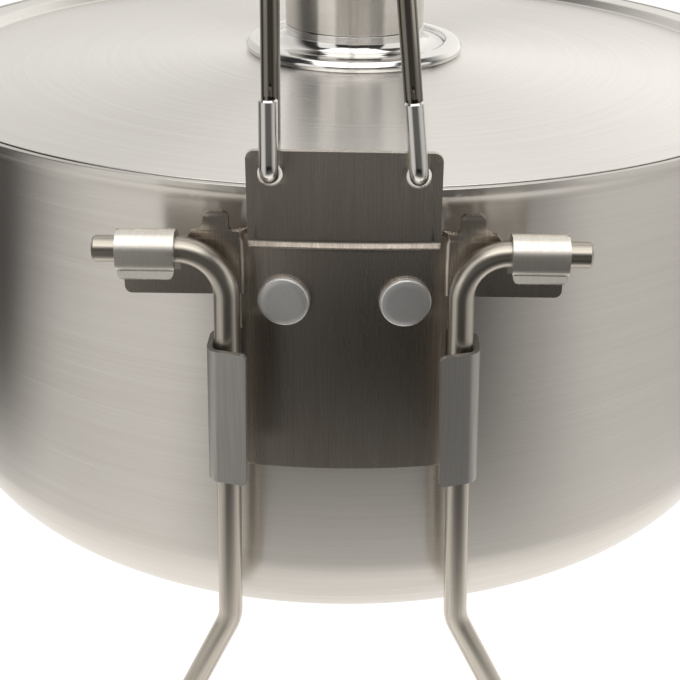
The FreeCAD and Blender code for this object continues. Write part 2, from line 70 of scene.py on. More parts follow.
POT_LOW, POT_HIGH = node_box("pot_shell")
LIFT = POT_LOW.z                     # pot base above the ground
RIM_Z = POT_HIGH.z
RIM_R = POT_HIGH.x
WALL = 1.0                           # thickness of the wall and base
FLARE = 0.9                          # how far the rim stands out past the wall
POT_R = RIM_R - FLARE                # outside of the straight wall
LID_R = node_box("lid")[1].x
FOOT_LOW, FOOT_HIGH = node_box("knob_foot")
STEM_HIGH = node_box("knob_stem")[1]
CAP_LOW, CAP_HIGH = node_box("knob_cap")
HINGE_Y = -pivot("front_handle_swing")[1]
HINGE_Z = pivot("front_handle_swing")[2]
EYE_X = pivot("right_bail_swing")[0]
EYE_Z = pivot("right_bail_swing")[2]
CLIP_SHEET = 0.8                     # thickness of the clip plate
SHEET = 1.0                          # thickness of the bracket and the flap plate
CLIP_R = POT_R + CLIP_SHEET          # outside of the clip plate's curved middle
BRACKET_R = CLIP_R + SHEET           # outside of the bracket's web
STRIP_R = BRACKET_R + SHEET          # outside of the flap plate's strip
WING_Y = 95.5                        # front face of the bracket's wings
HALF_TURN = Matrix.Rotation(math.pi, 3, "Z")

# ------------------------------------------------------------------ 2D outlines


def rounded(corners, closed=True, step=8.0):
    """Points along straight runs whose corners (x, y, radius) are arcs, one point per step degrees."""
    points = []
    count = len(corners)
    for i, (x, y, *rest) in enumerate(corners):
        radius = rest[0] if rest else 0.0
        here = Vector((x, y))
        at_end = not closed and i in (0, count - 1)
        if radius <= 0 or at_end:
            points.append(here)
            continue
        before = Vector(corners[i - 1][:2])
        after = Vector(corners[(i + 1) % count][:2])
        enter, leave = (here - before).normalized(), (after - here).normalized()
        turn = math.atan2(enter.cross(leave), enter.dot(leave))
        reach = radius * math.tan(abs(turn) / 2)
        side = math.copysign(1.0, turn)
        start = here - enter * reach
        centre = start + Vector((-enter.y, enter.x)) * radius * side
        steps = max(2, math.ceil(math.degrees(abs(turn)) / step))
        for k in range(steps + 1):
            spoke = Matrix.Rotation(turn * k / steps, 2) @ (start - centre)
            points.append(centre + spoke)
    return points


# ------------------------------------------------------------ meshes and pieces


def mesh_from(bm, name, sharp_over=None):
    """Turn a bmesh into a smooth mesh and free it. Edges over an angle in degrees stay sharp."""
    mesh = bpy.data.meshes.new(name)
    bm.to_mesh(mesh)
    bm.free()
    mesh.polygons.foreach_set("use_smooth", [True] * len(mesh.polygons))
    if sharp_over:
        mesh.set_sharp_from_angle(angle=math.radians(sharp_over))
    return mesh


def mesh_piece(name, mesh, body, stands_for):
    """Show a mesh in place of a CAD node."""
    mesh.validate()
    piece = bpy.data.objects.new(name, mesh)
    bpy.context.scene.collection.objects.link(piece)
    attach(piece, body)
    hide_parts(stands_for)
    return piece


# ---------------------------------------------------------------- turned pieces


def lathe_mesh(name, profile, segments=240, closed=True):
    """A mesh turned round Z from (radius, height) points. Points at radius 0 become poles."""
    bm = bmesh.new()
    rings = []
    for radius, height in profile:
        if radius < 1e-6:
            rings.append([bm.verts.new((0, 0, height * MM))])
            continue
        ring = []
        for k in range(segments):
            a = 2 * math.pi * k / segments
            x, y = radius * math.cos(a), radius * math.sin(a)
            ring.append(bm.verts.new((x * MM, y * MM, height * MM)))
        rings.append(ring)
    pairs = list(zip(rings, rings[1:]))
    if closed:
        pairs.append((rings[-1], rings[0]))
    for one, two in pairs:
        for k in range(segments):
            n = (k + 1) % segments
            if len(one) == 1 and len(two) == 1:
                break
            if len(one) == 1:
                bm.faces.new((one[0], two[k], two[n]))
            elif len(two) == 1:
                bm.faces.new((one[k], one[n], two[0]))
            else:
                bm.faces.new((one[k], one[n], two[n], two[k]))
    bmesh.ops.recalc_face_normals(bm, faces=bm.faces)
    return mesh_from(bm, name, sharp_over=40)


def turned(name, corners, body, stands_for, step=8.0, closed=True):
    """A piece turned round Z from an outline of (radius, height, corner radius) points."""
    profile = [tuple(p) for p in rounded(corners, closed, step)]
    return mesh_piece(name, lathe_mesh(name, profile, closed=closed), body, stands_for)


BASE_BEND = 18.0                     # outside radius of the bend from base to wall
INNER_R = POT_R - WALL
FLARE_LOW, FLARE_HIGH = RIM_Z - 2.6, RIM_Z - 1.2
pot_shell = turned(
    "pot_wall",
    [(0, LIFT), (POT_R, LIFT, BASE_BEND),
     (POT_R, FLARE_LOW, 3.0), (RIM_R, FLARE_HIGH, 1.2), (RIM_R, RIM_Z, 0.15),
     (RIM_R - WALL, RIM_Z, 0.12), (RIM_R - WALL, FLARE_HIGH - 0.1, 0.4), (INNER_R, FLARE_LOW + 0.3, 0.8),
     (INNER_R, LIFT + WALL, BASE_BEND - WALL), (0, LIFT + WALL)],
    "pot", "pot_shell", step=4.0, closed=False)

LID_SHEET = 0.9
BAND_R = 87.3                        # inner edge of the flat band that lies on the rim
RECESS = 2.0                         # the panel's edge lies this far below the band
PANEL_EDGE = RIM_Z - RECESS
PANEL_TOP = FOOT_LOW.z               # level middle of the panel, under the knob
BOLT_HOLE_R = 2.7
SEAT_R = 24.5                        # the panel is level inside this radius
SLOPE_BEND = 60.0                    # radius of the bend from there into the panel's slope
BAND_EDGE = LID_R - 0.15             # leaves the fine dark line between lid and rim
lid_panel = turned(
    "lid_panel",
    [(BOLT_HOLE_R, PANEL_TOP), (SEAT_R, PANEL_TOP, SLOPE_BEND), (BAND_R - RECESS + 0.3, PANEL_EDGE, 1.2),
     (BAND_R, RIM_Z, 0.9), (BAND_EDGE, RIM_Z, 0.12), (BAND_EDGE, RIM_Z - LID_SHEET, 0.3),
     (BAND_R + 0.5, RIM_Z - LID_SHEET, 0.9), (BAND_R - RECESS + 0.7, PANEL_EDGE - LID_SHEET, 1.2),
     (SEAT_R, PANEL_TOP - LID_SHEET, SLOPE_BEND), (BOLT_HOLE_R, PANEL_TOP - LID_SHEET)],
    "lid", "lid", step=6.0)

FOOT_R = FOOT_HIGH.x
FOOT_TOP = FOOT_HIGH.z - 0.1         # a fine seam is left under the stem
FOOT_SHEET = 0.9
STEM_R = STEM_HIGH.x
NECK_WALL = 1.6
knob_foot = turned(
    "knob_flared_foot",
    [(BOLT_HOLE_R, PANEL_TOP), (FOOT_R - 0.5, PANEL_TOP, 0.4), (FOOT_R, PANEL_TOP + 1.0, 0.8),
     (FOOT_R - 0.9, PANEL_TOP + 2.3, 0.9), (FOOT_R - 3.4, PANEL_TOP + 2.5, 2.2),
     (STEM_R + 2.6, PANEL_TOP + 1.1, 4.0), (STEM_R, PANEL_TOP + 2.9, 2.4),
     (STEM_R, FOOT_TOP, 0.12), (STEM_R - NECK_WALL, FOOT_TOP),
     (STEM_R - NECK_WALL, PANEL_TOP + FOOT_SHEET), (BOLT_HOLE_R, PANEL_TOP + FOOT_SHEET)],
    "lid", "knob_foot", step=5.0)

STEM_LOW = FOOT_HIGH.z
STEM_WALL = 1.2
knob_stem = turned(
    "knob_tube",
    [(STEM_R - STEM_WALL, STEM_LOW), (STEM_R, STEM_LOW, 0.15), (STEM_R, STEM_HIGH.z),
     (STEM_R - STEM_WALL, STEM_HIGH.z)],
    "lid", "knob_stem")

CAP_R = CAP_HIGH.x
knob_cap = turned(
    "knob_top",
    [(0, CAP_LOW.z), (CAP_R, CAP_LOW.z, 0.9), (CAP_R, CAP_HIGH.z, 2.4),
     (6.0, CAP_HIGH.z, 30.0), (0, CAP_HIGH.z - 0.4)],
    "lid", "knob_cap", step=6.0, closed=False)

# ----------------------------------------------------------------- bent wires


def running_lengths(points):
    """Distance along a line at each of its points."""
    lengths = [0.0]
    for a, b in zip(points, points[1:]):
        lengths.append(lengths[-1] + (b - a).length)
    return lengths


WIRE_SIDES = 40


def tube_mesh(name, path, normal, radius, chamfer=0.25):
    """A round wire along a flat path of 3D points, with slightly broken edges at its cut
    ends. The attribute "grain" holds the distance from the nearer end along the wire and the
    distance round it, in metres."""
    last = len(path) - 1
    lengths = running_lengths(path)
    stations = []                    # centre, direction, radius, distance along the wire
    for i, centre in enumerate(path):
        ahead = path[min(i + 1, last)] - centre
        behind = centre - path[max(i - 1, 0)]
        along = (ahead.normalized() + behind.normalized()).normalized()
        if i == 0:
            stations.append((centre, along, radius - chamfer, 0.0))
            stations.append((centre + along * chamfer, along, radius, chamfer))
        elif i == last:
            stations.append((centre - along * chamfer, along, radius, lengths[i] - chamfer))
            stations.append((centre, along, radius - chamfer, lengths[i]))
        else:
            stations.append((centre, along, radius, lengths[i]))
    bm = bmesh.new()
    grain = bm.verts.layers.float_vector.new("grain")
    rings = []
    for centre, along, size, length in stations:
        across = along.cross(normal).normalized()
        from_end = min(length, lengths[-1] - length)
        ring = []
        for k in range(WIRE_SIDES):
            a = 2 * math.pi * k / WIRE_SIDES
            spot = centre + (across * math.cos(a) + normal * math.sin(a)) * size
            vert = bm.verts.new(spot * MM)
            vert[grain] = Vector((from_end, math.cos(a) * radius, math.sin(a) * radius)) * MM
            ring.append(vert)
        rings.append(ring)
    for one, two in zip(rings, rings[1:]):
        for k in range(WIRE_SIDES):
            n = (k + 1) % WIRE_SIDES
            bm.faces.new((one[k], one[n], two[n], two[k]))
    for ring in (rings[0], rings[-1]):
        bm.faces.new(ring)
    bmesh.ops.recalc_face_normals(bm, faces=bm.faces)
    return mesh_from(bm, name, sharp_over=30)


def spaced(points, longest):
    """The same line with no run longer than a given length."""
    out = [points[0]]
    for a, b in zip(points, points[1:]):
        parts = max(1, math.ceil((b - a).length / longest))
        out += [a.lerp(b, k / parts) for k in range(1, parts + 1)]
    return out


LONGEST = 6.0                        # the longest straight run in a wire's mesh
HANDLE_WIRE = 4.0
REACH = HINGE_Z - HANDLE_WIRE / 2    # hinge axis down to the middle of the loop's foot
PIN_END = 37.2                       # tips of the pins
LEG_X = 17.6                         # legs at the hinge axis
KNEE_X, KNEE_DOWN = 19.45, 68.58     # where the legs splay
LOOP_X = 35.01                       # lower corners of the loop
half_handle = [(-PIN_END, 0), (-LEG_X, 0, 7.2), (-KNEE_X, -KNEE_DOWN, 9.0), (-LOOP_X, -REACH, 8.0)]
handle_line = half_handle + [(-x, *rest) for x, *rest in reversed(half_handle)]


def handle(where, side):
    """A pin, a leg down, a loop that the pot stands on, and back up, from one wire."""
    flat = rounded(handle_line, closed=False, step=4.0)
    path = [Vector((p.x, side * HINGE_Y, HINGE_Z + p.y)) for p in flat]
    mesh = tube_mesh(where + "_wire_handle", spaced(path, LONGEST), Vector((0, 1, 0)),
                     HANDLE_WIRE / 2, chamfer=0.35)
    return mesh_piece(where + "_wire_handle", mesh, where + "_handle", where + "_handle")


handles = [handle("front", -1), handle("rear", 1)]

BAIL_WIRE = 2.8
HOOK = 2.5                           # radius of the bend through the flap
HOOK_UP = 11.7                       # the hook's cut end, above the bail's axis
ARCH_FOOT = 69.0                     # the legs are straight up to this height above the axis
ARCH_STEPS = 90
HOOP_R = HINGE_Y - HOOK
LEFT_LEAN, RIGHT_LEAN = 0.8, 5.5     # degrees that each bail leans towards the middle


def bail(name, side, lean):
    """A hoop over the lid from front to rear, hooked through a hole at both ends."""
    hook = [(-HINGE_Y - HOOK, HOOK_UP), (-HINGE_Y - HOOK, 0, HOOK), (-HOOP_R, 0, HOOK)]
    start = rounded(hook + [(-HOOP_R, ARCH_FOOT)], closed=False, step=7.0)
    arch = []
    for k in range(1, ARCH_STEPS):
        a = math.pi * (1 - k / ARCH_STEPS)
        arch.append(Vector((HOOP_R * math.cos(a), ARCH_FOOT + HOOP_R * math.sin(a))))
    end = [Vector((-p.x, p.y)) for p in reversed(start)]
    tilt = Matrix.Rotation(math.radians(-side * lean), 3, "Y")
    path = []
    for p in start + arch + end:
        path.append(tilt @ Vector((0, p.x, p.y)) + Vector((side * EYE_X, 0, EYE_Z)))
    mesh = tube_mesh(name + "_hoop", spaced(path, LONGEST), tilt @ Vector((1, 0, 0)), BAIL_WIRE / 2)
    return mesh_piece(name + "_hoop", mesh, name, name)


bails = [bail("left_bail", -1, LEFT_LEAN), bail("right_bail", 1, RIGHT_LEAN)]

# ------------------------------------------------------------------ bent sheets

HOLE_SIDES = 40
CURVE_STEP = 1.6                     # cuts at this spacing let a plate follow the pot's wall


def flat_mesh(outline, holes=()):
    """A filled flat mesh from an outline and round holes (x, y, radius), in millimetres."""
    curve = bpy.data.curves.new("outline", "CURVE")
    curve.dimensions = "2D"
    curve.fill_mode = "BOTH"
    loops = [[(p[0], p[1]) for p in outline]]
    angles = [2 * math.pi * k / HOLE_SIDES for k in range(HOLE_SIDES)]
    for x, y, radius in holes:
        loops.append([(x + radius * math.cos(a), y + radius * math.sin(a)) for a in angles])
    for loop in loops:
        spline = curve.splines.new("POLY")
        spline.points.add(len(loop) - 1)
        for point, (x, y) in zip(spline.points, loop):
            point.co = (x, y, 0, 1)
        spline.use_cyclic_u = True
    holder = bpy.data.objects.new("outline", curve)
    bpy.context.scene.collection.objects.link(holder)
    mesh = bpy.data.meshes.new_from_object(holder)
    bpy.data.objects.remove(holder)
    bm = bmesh.new()
    bm.from_mesh(mesh)
    bpy.data.meshes.remove(mesh)
    bmesh.ops.remove_doubles(bm, verts=bm.verts, dist=1e-4)
    return bm


def slice_flat(bm, axis, levels):
    """Cut a flat mesh along lines, so that it can bend there. The lines lie at these values of
    x if axis is 0, and of y if it is 1."""
    normal = Vector((1, 0, 0)) if axis == 0 else Vector((0, 1, 0))
    for level in levels:
        everything = bm.verts[:] + bm.edges[:] + bm.faces[:]
        bmesh.ops.bisect_plane(bm, geom=everything, plane_co=normal * level, plane_no=normal, dist=1e-5)


def thick_sheet(flat, place, thickness):
    """Give a flat mesh thickness. place(u, v) returns the middle of the sheet and its outward
    direction. Returns lists of points and faces in millimetres."""
    flat.verts.index_update()
    front, back = [], []
    for vert in flat.verts:
        middle, out = place(vert.co.x, vert.co.y)
        front.append(middle + out * thickness / 2)
        back.append(middle - out * thickness / 2)
    count = len(front)
    faces = []
    for face in flat.faces:
        ring = [v.index for v in face.verts]
        faces.append(ring)
        faces.append([i + count for i in reversed(ring)])
    for edge in flat.edges:
        if len(edge.link_faces) == 1:
            a, b = (v.index for v in edge.verts)
            faces.append([b, a, a + count, b + count])
    flat.free()
    return front + back, faces


def sheet_piece(name, sheets, body, stands_for, rear=False, soft=0.16):
    """One piece from several (points, faces) lists, with soft edges."""
    bm = bmesh.new()
    for points, faces in sheets:
        verts = [bm.verts.new(p * MM) for p in points]
        for face in faces:
            try:
                bm.faces.new([verts[i] for i in face])
            except ValueError:       # a face between these points is there already
                continue
    if rear:
        bmesh.ops.rotate(bm, verts=bm.verts, matrix=HALF_TURN)
    bmesh.ops.dissolve_degenerate(bm, dist=1e-7, edges=bm.edges)
    bmesh.ops.recalc_face_normals(bm, faces=bm.faces)
    piece = mesh_piece(name, mesh_from(bm, name), body, stands_for)
    bevel = piece.modifiers.new("edges", "BEVEL")
    bevel.width = soft * MM
    bevel.segments = 3
    bevel.limit_method = "ANGLE"
    bevel.angle_limit = math.radians(50)
    bevel.use_clamp_overlap = True
    even = piece.modifiers.new("shading", "WEIGHTED_NORMAL")
    even.keep_sharp = True
    even.weight = 80
    return piece


def along_path(points):
    """A function from distance along an open 2D line to (point, left-hand normal), and the
    distance at each point of the line."""
    lengths = running_lengths(points)

    def at(distance):
        distance = min(max(distance, 0.0), lengths[-1])
        i = 0
        while i < len(lengths) - 2 and lengths[i + 1] < distance:
            i += 1
        a, b = points[i], points[i + 1]
        share = (distance - lengths[i]) / max(lengths[i + 1] - lengths[i], 1e-9)
        forward = (b - a).normalized()
        if i > 0 and share < 0.5:
            forward = (forward.lerp((a - points[i - 1]).normalized(), 0.5 - share)).normalized()
        elif i < len(points) - 2 and share >= 0.5:
            forward = (forward.lerp((points[i + 2] - b).normalized(), share - 0.5)).normalized()
        return a.lerp(b, share), Vector((-forward.y, forward.x))

    return at, lengths


def steps_between(low, high, size):
    """Even levels between two ends, no further apart than size. The ends are left out."""
    count = max(1, math.ceil((high - low) / size))
    return [low + (high - low) * k / count for k in range(1, count)]


def on_cylinder(radius):
    """Places a flat sheet on a cylinder round the pot's axis, facing -Y."""
    def place(u, v):
        y = -math.sqrt(radius * radius - u * u)
        out = Vector((u, y, 0)).normalized()
        return Vector((u, y, v)), out
    return place


STRIP_LOW = node_box("front_bail_plate")[0].z
FLAP_HIGH = node_box("front_bail_plate")[1].z
STRIP_HALF = 16.0
FLAP_HALF = 14.3
SHELF_Z = LIFT + 80.1 + SHEET / 2    # middle of the step's thickness
SHELF_BEND = 1.6                     # radius of the bend from the strip into the step
EYE_R = 1.85                         # holes for the bails


def bail_plate(where):
    """A strip up the wall, a step forward and a flap with two holes, from one sheet."""
    strip_y = STRIP_R - SHEET / 2
    side = [Vector(p) for p in rounded(
        [(-strip_y, STRIP_LOW), (-strip_y, SHELF_Z, SHELF_BEND), (-HINGE_Y + 0.52, SHELF_Z, 0.5),
         (-HINGE_Y, SHELF_Z + 1.15, 1.2), (-HINGE_Y, FLAP_HIGH)], closed=False, step=12.0)]
    at, lengths = along_path(side)
    total = lengths[-1]
    shelf_start = (SHELF_Z - STRIP_LOW) - SHELF_BEND
    flap_start = total - (FLAP_HIGH - SHELF_Z) + SHELF_BEND
    eye_v = total - (FLAP_HIGH - EYE_Z)
    ears = shelf_start - 0.2         # the full width ends just below the bend
    outline = rounded(
        [(-STRIP_HALF, 0, 0.5), (STRIP_HALF, 0, 0.5), (STRIP_HALF, ears), (FLAP_HALF, ears),
         (FLAP_HALF, total, 1.3), (-FLAP_HALF, total, 1.3), (-FLAP_HALF, ears), (-STRIP_HALF, ears)],
        step=12.0)
    flat = flat_mesh(outline, [(-EYE_X, eye_v, EYE_R), (EYE_X, eye_v, EYE_R)])
    slice_flat(flat, 1, lengths[1:-1])
    slice_flat(flat, 0, steps_between(-STRIP_HALF, STRIP_HALF, CURVE_STEP))

    def place(u, v):
        """Round the wall low down, and flat once the sheet has reached the flap."""
        point, normal = at(v)
        hug = min(max((flap_start - v) / (flap_start - shelf_start), 0.0), 1.0)
        dip = (strip_y - math.sqrt(strip_y ** 2 - u * u)) * hug
        out = Vector((u / strip_y * hug, normal.x, normal.y)).normalized()
        return Vector((u, point.x + dip, point.y)), out

    sheets = [thick_sheet(flat, place, SHEET)]
    ear_high = SHELF_Z + SHEET / 2
    ear_low = ear_high - 3.0
    for s in (-1, 1):
        # The strip's corners stand up beside the bend.
        ear = flat_mesh([(s * FLAP_HALF, ear_low), (s * STRIP_HALF, ear_low), (s * STRIP_HALF, ear_high),
                         (s * FLAP_HALF, ear_high)])
        sheets.append(thick_sheet(ear, on_cylinder(strip_y), SHEET))
    return sheet_piece(where + "_flap_plate", sheets, "pot", where + "_bail_plate",
                       rear=where == "rear")


WING_HALF = 33.7
WING_LOW, WING_HIGH = LIFT + 71.3, LIFT + 81.6
WEB_LOW = LIFT + 66.0
WEB_HALF = 14.0                      # the web behind the flap plate joins the wings
BARREL_IN, BARREL_OUT = 25.0, 33.6   # ends of the rolled straps
UNDER_BARREL = WING_HIGH - 1.2       # the wing's top edge below a strap
PIN_GAP = 0.08                       # between a pin and the strap rolled over it
STRAP_LEAN = 2.64                    # how far forward a strap leans on its way up to the roll
BUMP_MID, BUMP_HALF = 19.4, 1.9      # the small bump on each wing's top edge
BUMP_TOP = node_box("front_bracket")[1].z
STEP_IN, STEP_OUT = 15.0, 16.2       # between these the sheet leaves the wall for the flat wing
STEP_CUTS = 6


def bracket(where):
    """The wing plate with its web, and the straps that roll over the handle's pins."""
    rear = where == "rear"
    right = [(WEB_HALF, WEB_LOW, 1.0), (WEB_HALF, WING_LOW, 0.8), (WING_HALF, WING_LOW, 1.1),
             (WING_HALF, UNDER_BARREL, 0.8), (BARREL_IN - 1.0, UNDER_BARREL, 0.6),
             (BARREL_IN - 1.8, WING_HIGH, 0.6),
             (BUMP_MID + BUMP_HALF, WING_HIGH, 1.9), (BUMP_MID + BUMP_HALF, BUMP_TOP, 1.0),
             (BUMP_MID - BUMP_HALF, BUMP_TOP, 1.0), (BUMP_MID - BUMP_HALF, WING_HIGH, 0.8)]
    left = [(-x, z, radius) for x, z, radius in reversed(right)]
    flat = flat_mesh(rounded(right + left, step=10.0))
    middle_r = BRACKET_R - SHEET / 2
    wing_y = WING_Y - SHEET / 2
    levels = steps_between(-STEP_IN, STEP_IN, CURVE_STEP)
    for s in (-1, 1):
        levels += [s * (STEP_IN + (STEP_OUT - STEP_IN) * k / STEP_CUTS) for k in range(STEP_CUTS + 1)]
    slice_flat(flat, 0, sorted(levels))

    def depth(u):
        """How far forward the sheet's middle lies at this distance from the centre."""
        u = abs(u)
        curved = math.sqrt(middle_r ** 2 - min(u, STEP_OUT) ** 2)
        share = min(max((u - STEP_IN) / (STEP_OUT - STEP_IN), 0.0), 1.0)
        share = share * share * (3 - 2 * share)
        return curved + (wing_y - curved) * share

    def place(u, v):
        """On the sheet's middle, with its outward direction from the slope there."""
        slope = (depth(u + 0.05) - depth(u - 0.05)) / 0.1
        return Vector((u, -depth(u), v)), Vector((-slope, -1, 0)).normalized()

    wing_plate = sheet_piece(where + "_wing_plate", [thick_sheet(flat, place, SHEET)], "pot",
                             where + "_bracket", rear)
    roll = (HANDLE_WIRE / 2 + PIN_GAP) + SHEET / 2
    top = HINGE_Z + roll
    # Up the wing, over the pin, back in under its front, and out into a short hanging lip.
    strap = [Vector(p) for p in rounded(
        [(-wing_y, WING_LOW + 4.0), (-wing_y, HINGE_Z - 0.06, 1.5), (-wing_y - STRAP_LEAN, top, roll),
         (-HINGE_Y - roll, top, roll), (-HINGE_Y - roll, HINGE_Z - 1.5, 1.8),
         (-HINGE_Y - roll + 0.55, HINGE_Z - 2.45, 0.3), (-HINGE_Y - roll - 0.05, HINGE_Z - 3.8)],
        closed=False, step=7.0)]
    at, lengths = along_path(strap)

    def roll_over(u, v):
        """Along the strap's path."""
        point, normal = at(v)
        return Vector((u, point.x, point.y)), Vector((0, normal.x, normal.y))

    sheets = []
    end = lengths[-1]
    for s in (-1, 1):
        low, high = sorted((s * BARREL_IN, s * BARREL_OUT))
        tab = flat_mesh(rounded([(low, 0), (high, 0), (high, end - 2.4, 0.3), (high - 0.3, end, 0.9),
                                 (low + 0.3, end, 0.9), (low, end - 2.4, 0.3)], step=15.0))
        slice_flat(tab, 1, lengths[1:-1])
        sheets.append(thick_sheet(tab, roll_over, SHEET))
    return wing_plate, sheet_piece(where + "_pin_barrels", sheets, "pot", where + "_bracket",
                                   rear)


LIP_LOW, LIP_HIGH = LIFT + 41.6, LIFT + 64.8
LIP_OUT, LIP_IN = 21.3, 15.0         # outer face and free edge of a clip, from the middle
CLIP_ROOT = 13.0                     # where a clip starts, hidden behind the strip
CLIP_SLANT = math.tan(math.radians(1.55))  # the clips follow the slant of the legs
CLIP_HALF = 14.4                     # half the width of the plate between the clips
CLIP_LOW = node_box("front_clip_plate")[0].z
CLIP_HIGH = node_box("front_clip_plate")[1].z


def clip_plate(where):
    """A plate against the wall, with a spring clip at each side that holds a leg."""
    middle = flat_mesh(rounded([(-CLIP_HALF, CLIP_LOW, 1.0), (CLIP_HALF, CLIP_LOW, 1.0),
                                (CLIP_HALF, CLIP_HIGH, 1.0), (-CLIP_HALF, CLIP_HIGH, 1.0)], step=15.0))
    slice_flat(middle, 0, steps_between(-CLIP_HALF, CLIP_HALF, CURVE_STEP))
    sheets = [thick_sheet(middle, on_cylinder(CLIP_R - CLIP_SHEET / 2), CLIP_SHEET)]
    outer = LIP_OUT - CLIP_SHEET / 2
    for s in (-1, 1):
        # Out from behind the strip, round the far side of the wire, and back across its front.
        section = [Vector(p) for p in rounded(
            [(s * CLIP_ROOT, -CLIP_R + 1.25), (s * outer, -WING_Y + 0.75, 2.0),
             (s * outer, -WING_Y - 6.0, 1.9), (s * LIP_IN, -WING_Y - 7.5)],
            closed=False, step=9.0)]
        at, lengths = along_path(section)
        end = lengths[-1]
        flat = flat_mesh(rounded([(0, LIP_LOW), (end, LIP_LOW - 0.5, 0.7), (end, LIP_HIGH - 0.25, 0.9),
                                  (0, LIP_HIGH)], step=10.0))
        slice_flat(flat, 0, lengths[1:-1])

        def wrap(u, v, at=at, s=s):
            """Round the section, which drifts sideways with height as the leg does."""
            point, normal = at(u)
            drift = s * ((LIP_LOW + LIP_HIGH) / 2 - v) * CLIP_SLANT
            return Vector((point.x + drift, point.y, v)), Vector((normal.x, normal.y, 0)) * -s

        sheets.append(thick_sheet(flat, wrap, CLIP_SHEET))
    return sheet_piece(where + "_spring_clips", sheets, "pot", where + "_clip_plate",
                       rear=where == "rear", soft=0.22)


RIVET_X = 9.1
RIVET_Z = LIFT + 70.5
RIVET_HEAD_R = 4.1


def rivet_pair(where):
    """Two low heads with rounded rims, and their closed ends inside the pot."""
    head = [tuple(p) for p in rounded(
        [(0, 1.12), (RIVET_HEAD_R - 0.9, 1.16, 3.0), (RIVET_HEAD_R - 0.1, 0.86, 0.5),
         (RIVET_HEAD_R, 0.0, 0.2), (0, 0.0)], closed=False, step=10.0)]
    tail = [tuple(p) for p in rounded(
        [(0, 0.8), (2.4, 0.8, 1.0), (3.2, 0.3, 0.3), (3.2, 0.0), (0, 0.0)], closed=False, step=12.0)]
    bm = bmesh.new()
    angle = math.asin(RIVET_X / POT_R)
    for s in (-1, 1):
        # A hair clear of the strip in front, and of the wall's curve inside.
        for shape, radius, outward in ((head, STRIP_R + 0.02, 1), (tail, INNER_R - 0.06, -1)):
            mesh = lathe_mesh("rivet", shape, segments=64, closed=False)
            stand = Matrix.Rotation(math.radians(90 * outward), 4, "X")
            shift = Matrix.Translation(Vector((0, -radius * MM, 0)))
            swing = Matrix.Rotation(s * angle, 4, "Z")
            lift = Matrix.Translation(Vector((0, 0, RIVET_Z * MM)))
            mesh.transform(lift @ swing @ shift @ stand)
            bm.from_mesh(mesh)
            bpy.data.meshes.remove(mesh)
    if where == "rear":
        bmesh.ops.rotate(bm, verts=bm.verts, matrix=HALF_TURN)
    mesh = mesh_from(bm, where + "_rivet_heads")
    return mesh_piece(where + "_rivet_heads", mesh, "pot", where + "_rivets")


plates, wings, barrels, clips, heads = [], [], [], [], []
for where in ("front", "rear"):
    plates.append(bail_plate(where))
    wing_plate, pin_barrels = bracket(where)
    wings.append(wing_plate)
    barrels.append(pin_barrels)
    clips.append(clip_plate(where))
    heads.append(rivet_pair(where))

# -------------------------------------------------------------------- materials


class Graph:
    """A short way to write shader nodes. A value is a number, a colour, a vector or another
    node's output."""

    def __init__(self, tree):
        self.tree = tree

    def add(self, kind, **settings):
        node = self.tree.nodes.new(kind)
        for key, value in settings.items():
            setattr(node, key, value)
        return node

    def put(self, node, socket, value):
        """Set a socket, or link it if the value is another node's output."""
        target = node.inputs[socket]
        if isinstance(value, bpy.types.NodeSocket):
            self.tree.links.new(value, target)
        else:
            target.default_value = value

    def object_place(self):
        return self.add("ShaderNodeTexCoord").outputs["Object"]

    def wire_grain(self):
        """The attribute that a wire's mesh carries."""
        return self.add("ShaderNodeAttribute", attribute_name="grain").outputs["Vector"]

    def camera_ray(self):
        return self.add("ShaderNodeLightPath").outputs["Is Camera Ray"]

    def math(self, operation, a, b=0.0):
        node = self.add("ShaderNodeMath", operation=operation)
        self.put(node, 0, a)
        self.put(node, 1, b)
        return node.outputs[0]

    def mixed(self, *parts):
        """The sum of values, each with its share: (value, share), (value, share), ..."""
        total = None
        for value, share in parts:
            part = self.math("MULTIPLY", value, share)
            total = part if total is None else self.math("ADD", total, part)
        return total

    def vector_math(self, operation, a, b=None, output="Vector"):
        node = self.add("ShaderNodeVectorMath", operation=operation)
        self.put(node, 0, a)
        if b is not None:
            self.put(node, 1, b)
        return node.outputs[output]

    def split(self, vector):
        node = self.add("ShaderNodeSeparateXYZ")
        self.put(node, 0, vector)
        return node.outputs

    def join(self, x, y, z):
        node = self.add("ShaderNodeCombineXYZ")
        for socket, value in enumerate((x, y, z)):
            self.put(node, socket, value)
        return node.outputs[0]

    def noise(self, vector, scale, detail=2.0, roughness=0.5):
        node = self.add("ShaderNodeTexNoise")
        for socket, value in (("Vector", vector), ("Scale", scale), ("Detail", detail),
                              ("Roughness", roughness)):
            self.put(node, socket, value)
        return node.outputs[0]

    def ramp(self, value, low, high, to_low=0.0, to_high=1.0, curve="LINEAR"):
        node = self.add("ShaderNodeMapRange", interpolation_type=curve)
        for socket, number in (("Value", value), ("From Min", low), ("From Max", high),
                               ("To Min", to_low), ("To Max", to_high)):
            self.put(node, socket, number)
        return node.outputs[0]

    def blend(self, share, low, high):
        """A colour between two, each (r, g, b) or another node's output."""
        node = self.add("ShaderNodeMix", data_type="RGBA")
        self.put(node, 0, share)
        for socket, colour in ((6, low), (7, high)):
            linked = isinstance(colour, bpy.types.NodeSocket)
            self.put(node, socket, colour if linked else (*colour, 1))
        return node.outputs[2]


def new_material(name):
    material = bpy.data.materials.new(name)
    material.use_nodes = True
    material.node_tree.nodes.clear()
    return material, Graph(material.node_tree)


ROUND = 0.007                        # how little a brush line changes on its way round the pot
ALONG = 0.02                         # and along a plate or a wire, where 1 is no stretch at all


